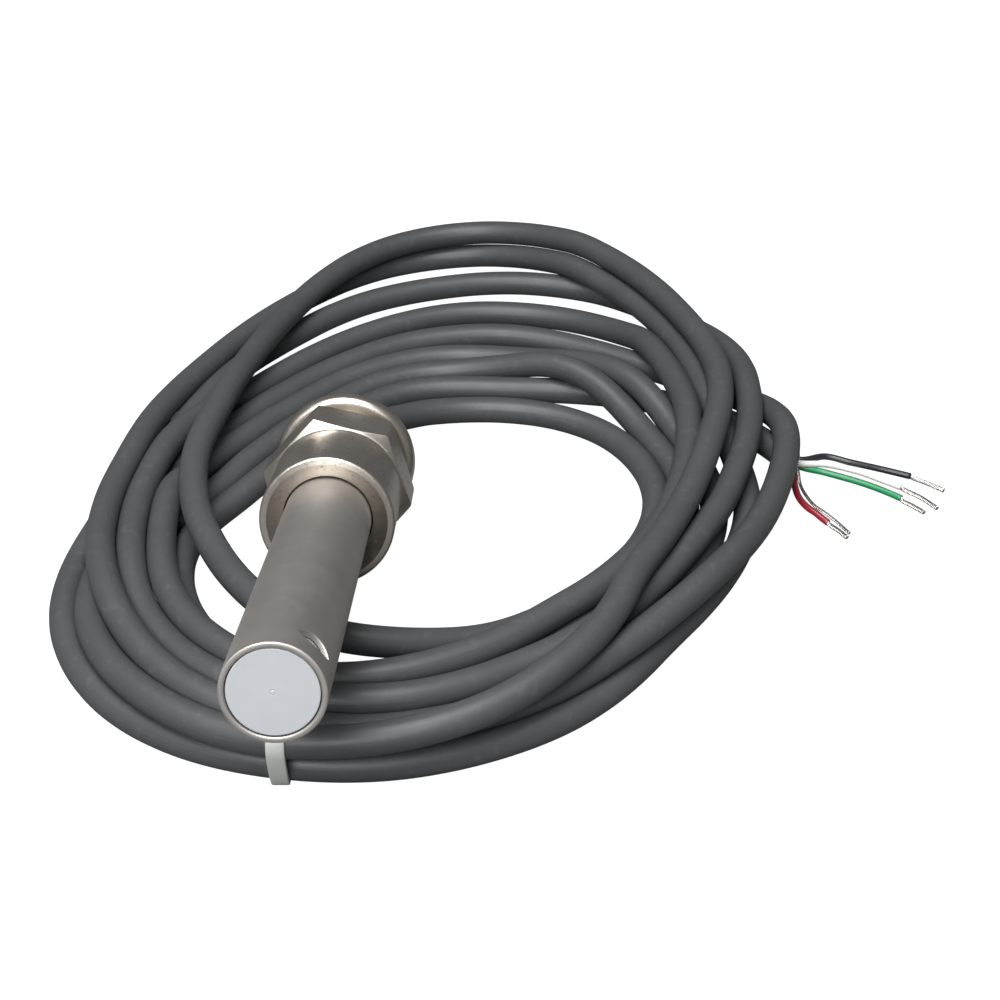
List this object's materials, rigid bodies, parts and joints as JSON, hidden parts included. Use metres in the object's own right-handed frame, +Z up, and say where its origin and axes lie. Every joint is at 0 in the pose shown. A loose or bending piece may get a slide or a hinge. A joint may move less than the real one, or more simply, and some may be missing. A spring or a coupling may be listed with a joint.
{
  "type": "proximity sensor",
  "caption": "Smooth stainless barrel proximity sensor in a plated compression fitting, with its grey cable in a tied coil and stripped leads.",
  "frame": {"origin": "centre of the box round the sensor and its fitting, at the surface it lies on; the free cable is not counted", "axes": "+Z up, +Y from the sensing face towards the cable exit, +X to the right seen from the face; the barrel is tilted 16.2 degrees, face up, because it lies across its coil"},
  "size_m": [0.2032, 0.254, 0.0577],
  "materials": {
    "barrel_steel": "satin bead-blasted stainless",
    "nickel_brass": "polished nickel plate on brass",
    "bare_brass": "turned brass",
    "white_face": "moulded white fluoropolymer",
    "dark_plastic": "moulded component body",
    "circuit_board": "green solder mask",
    "ferrite": "sintered ferrite",
    "copper": "bare copper",
    "black_rubber": "moulded black rubber",
    "grey_jacket": "grey PVC cable jacket",
    "clear_nylon": "natural nylon",
    "tinned_copper": "tinned copper strands",
    "core_black": "black PVC insulation",
    "core_white": "white PVC insulation",
    "core_green": "green PVC insulation",
    "core_red": "red PVC insulation"
  },
  "bodies": {
    "sensor": {"barrel_tube": "barrel_steel", "face_cap": "white_face", "cap_o_ring": "black_rubber", "pot_core": "ferrite", "coil_bobbin": "white_face", "sensing_winding": "copper", "core_carrier": "dark_plastic", "screen_sleeve": "copper", "circuit_board": "circuit_board", "oscillator_chip": "dark_plastic", "trigger_chip": "dark_plastic", "voltage_regulator": "dark_plastic", "output_transistor": "dark_plastic", "reverse_diode": "dark_plastic", "surge_diode": "dark_plastic", "trimmer": "white_face", "input_capacitor": "bare_brass", "output_capacitor": "bare_brass", "film_capacitor": "dark_plastic", "rear_bushing": "barrel_steel", "cable_grommet": "black_rubber", "cable_crimp": "bare_brass", "cable_entry": "grey_jacket", "inner_wire_black": "core_black", "inner_wire_white": "core_white", "inner_wire_green": "core_green", "inner_wire_red": "core_red", "cable_lead": "grey_jacket", "cable_coil": "grey_jacket", "tie_band": "clear_nylon", "tie_head": "clear_nylon", "core_black": "core_black", "core_white": "core_white", "core_green": "core_green", "core_red": "core_red", "tinned_end_black": "tinned_copper", "tinned_end_white": "tinned_copper", "tinned_end_green": "tinned_copper", "tinned_end_red": "tinned_copper", "drain_wire": "tinned_copper"},
    "clamp_seal": {"clamp_seal": "black_rubber"},
    "gland_body": {"gland_body": "nickel_brass", "flange_gasket": "black_rubber"},
    "thrust_ring": {"thrust_ring": "bare_brass"},
    "gland_nut": {"gland_nut": "nickel_brass"}
  },
  "joints": [
    {"name": "fitting_slide", "type": "slide", "parent": "sensor", "child": "clamp_seal", "axis": [-0.0124, -0.9602, 0.279], "range_m": [0, 0.008]},
    {"name": "fitting_turn", "type": "hinge", "parent": "clamp_seal", "child": "gland_body", "pos_m": [-0.00032, 0.01524, 0.0262], "axis": [-0.0124, -0.9602, 0.279], "continuous": true},
    {"name": "nut_advance", "type": "slide", "parent": "gland_body", "child": "thrust_ring", "axis": [-0.0124, -0.9602, 0.279], "range_m": [0, 0.0045]},
    {"name": "nut_turn", "type": "hinge", "parent": "thrust_ring", "child": "gland_nut", "pos_m": [-0.00032, 0.01524, 0.0262], "axis": [-0.0124, -0.9602, 0.279], "range_deg": [0, 1080]}
  ],
  "couplings": [
    {"joint": "nut_turn", "follows": "nut_advance", "rad_per_m": 4188.8}
  ]
}
